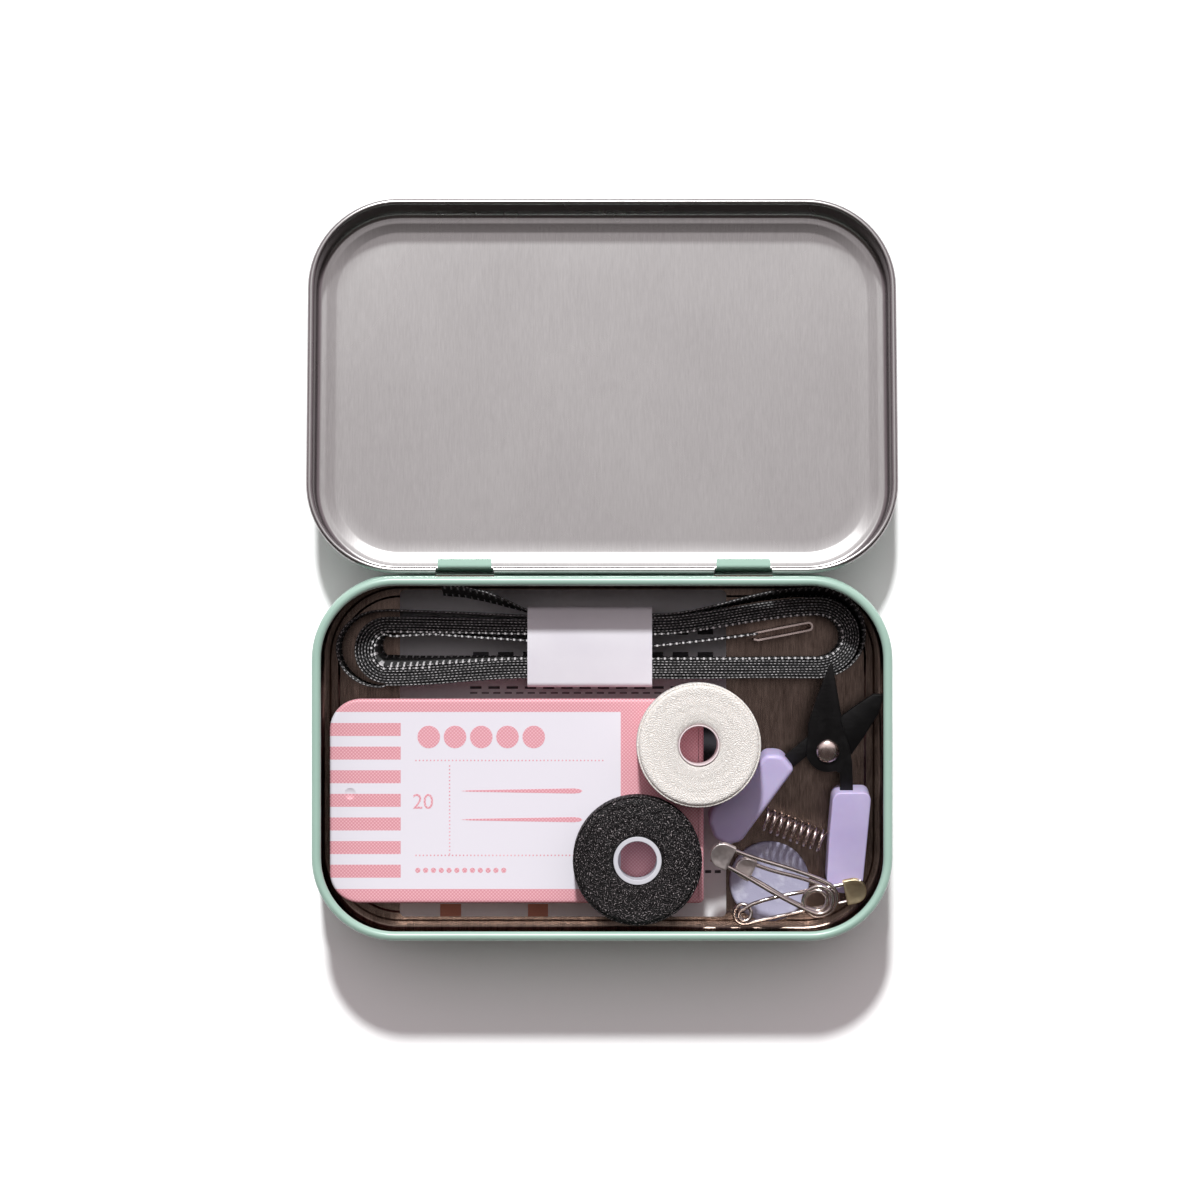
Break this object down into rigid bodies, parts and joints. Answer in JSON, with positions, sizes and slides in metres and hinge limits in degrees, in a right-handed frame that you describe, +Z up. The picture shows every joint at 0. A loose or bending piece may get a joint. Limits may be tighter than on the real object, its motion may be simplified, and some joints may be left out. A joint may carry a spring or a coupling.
{
  "type": "sewing tin",
  "caption": "Open hinged metal sewing tin holding a slide-lid needle tin, thread bobbins, folding snips, measuring tape, safety pins, chalk and a card",
  "frame": {"origin": "middle of the underside of the tin's base, on the surface it stands on", "axes": "+X to the right along the tin's long side as seen in the picture, +Y from the front wall to the hinge and on over the open lid, +Z up"},
  "size_m": [0.097, 0.122, 0.02],
  "materials": {
    "mint_paint": "smooth satin enamel",
    "tinplate": "fine brushed tinplate inside, mint enamel outside",
    "card": "matt white paper",
    "pink_paint": "pink and white print on tin",
    "steel": "bright nickel plate",
    "tape_weave": "woven black tape",
    "bobbin_core": "white card core",
    "white_thread": "wound white thread",
    "black_thread": "wound black thread",
    "black_steel": "black coated blade",
    "lavender_plastic": "soft satin plastic",
    "tailors_chalk": "dry pressed chalk"
  },
  "bodies": {
    "base": {"tin_base": "mint_paint", "instruction_card": "card", "needle_tin_tray": "pink_paint", "needle_01": "steel", "needle_02": "steel", "needle_03": "steel", "needle_04": "steel", "needle_05": "steel", "needle_06": "steel", "needle_07": "steel", "needle_08": "steel", "needle_09": "steel", "needle_10": "steel", "needle_11": "steel", "needle_12": "steel", "needle_13": "steel", "needle_14": "steel", "needle_15": "steel", "needle_16": "steel", "needle_17": "steel", "needle_18": "steel", "needle_19": "steel", "needle_20": "steel", "tape_hank": "tape_weave", "paper_band": "card", "tape_clip": "steel", "white_bobbin_core": "bobbin_core", "white_bobbin_thread": "white_thread", "white_bobbin_turns": "white_thread", "black_bobbin_core": "bobbin_core", "black_bobbin_thread": "black_thread", "black_bobbin_turns": "black_thread", "snips_blade_right": "black_steel", "snips_rivet": "steel", "snips_grip_right": "lavender_plastic", "snips_spring": "steel", "chalk_disc": "tailors_chalk", "pin_top_spine": "steel", "pin_top_cap": "steel", "pin_middle_spine": "steel", "pin_middle_cap": "steel", "pin_low_spine": "steel", "pin_low_cap": "steel"},
    "lid": {"tin_lid": "tinplate"},
    "needle_lid": {"needle_tin_lid": "pink_paint"},
    "snips_left": {"snips_blade_left": "black_steel", "snips_grip_left": "lavender_plastic"},
    "pin_top_arm_body": {"pin_top_arm": "steel"},
    "pin_middle_arm_body": {"pin_middle_arm": "steel"},
    "pin_low_arm_body": {"pin_low_arm": "steel"}
  },
  "joints": [
    {"name": "lid_hinge", "type": "hinge", "parent": "base", "child": "lid", "pos_m": [0, 0.0306, 0.0142], "axis": [1, 0, 0], "range_deg": [0, 187.3]},
    {"name": "snips_pivot", "type": "hinge", "parent": "base", "child": "snips_left", "pos_m": [0.03709, 0.00104, 0.00965], "axis": [0, -0.19, 0.9818], "range_deg": [0, 38], "stiffness_Nm_per_rad": 0.02, "springref_deg": -11.46, "deforming": ["snips_spring"]},
    {"name": "needle_tin_slide", "type": "slide", "parent": "base", "child": "needle_lid", "axis": [-1, 0, 0], "range_m": [0, 0.0015]},
    {"name": "pin_top_spring", "type": "hinge", "parent": "base", "child": "pin_top_arm_body", "pos_m": [0.03552, -0.02326, 0.01218], "axis": [0, -0.19, 0.9818], "range_deg": [0, 25], "stiffness_Nm_per_rad": 0.01, "springref_deg": 17.19},
    {"name": "pin_middle_spring", "type": "hinge", "parent": "base", "child": "pin_middle_arm_body", "pos_m": [0.03527, -0.02347, 0.01041], "axis": [0, -0.19, 0.9818], "range_deg": [0, 25], "stiffness_Nm_per_rad": 0.01, "springref_deg": 17.19},
    {"name": "pin_low_spring", "type": "hinge", "parent": "base", "child": "pin_low_arm_body", "pos_m": [0.02349, -0.02603, 0.00797], "axis": [0, -0.19, 0.9818], "range_deg": [0, 25], "stiffness_Nm_per_rad": 0.01, "springref_deg": 17.19}
  ]
}
